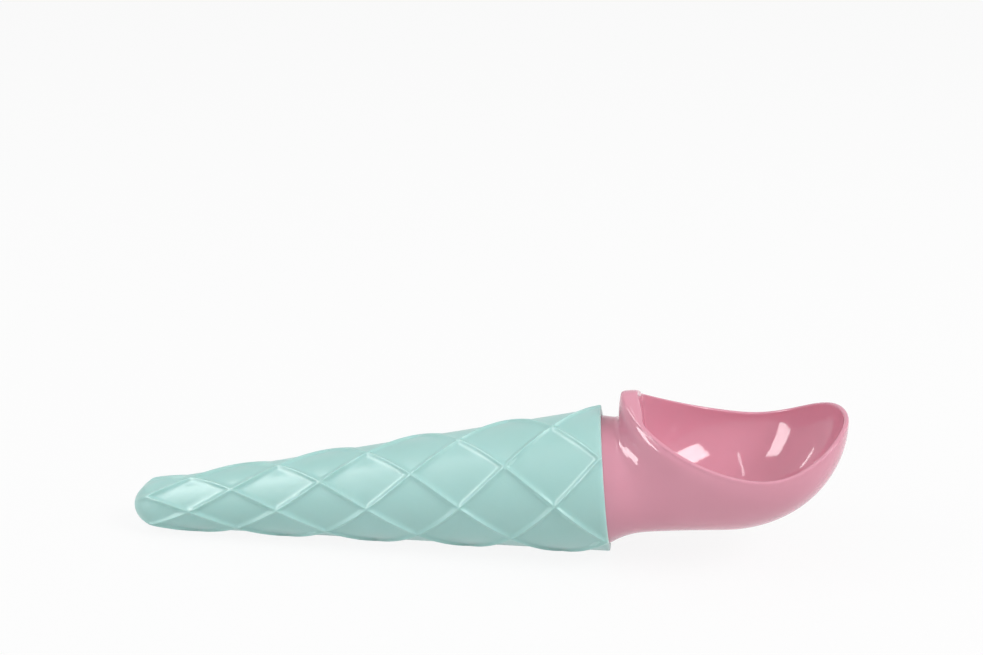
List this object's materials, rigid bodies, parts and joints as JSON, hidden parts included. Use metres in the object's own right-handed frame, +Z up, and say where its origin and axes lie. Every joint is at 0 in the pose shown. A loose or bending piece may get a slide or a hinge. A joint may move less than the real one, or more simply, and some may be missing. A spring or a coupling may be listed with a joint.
{
  "type": "ice cream spade",
  "caption": "Ice cream scoop with a hollow handle shaped like a waffle cone and a plug-in head: a deep oval bowl with a thin front lip and a thick back rim.",
  "frame": {"origin": "middle of the base of the bounding box, on the ground under the scoop as it lies on the cone's side", "axes": "+X along the ground from the cone's tip towards the bowl's front lip, +Z up and out of the bowl, +Y to the left of someone who looks along +X"},
  "size_m": [0.1952, 0.045, 0.0463],
  "materials": {
    "mint_plastic": "smooth moulded plastic with a soft gloss",
    "pink_plastic": "smooth moulded plastic, glossy"
  },
  "bodies": {
    "root": {"cone_handle": "mint_plastic", "scoop_head": "pink_plastic"}
  },
  "joints": []
}
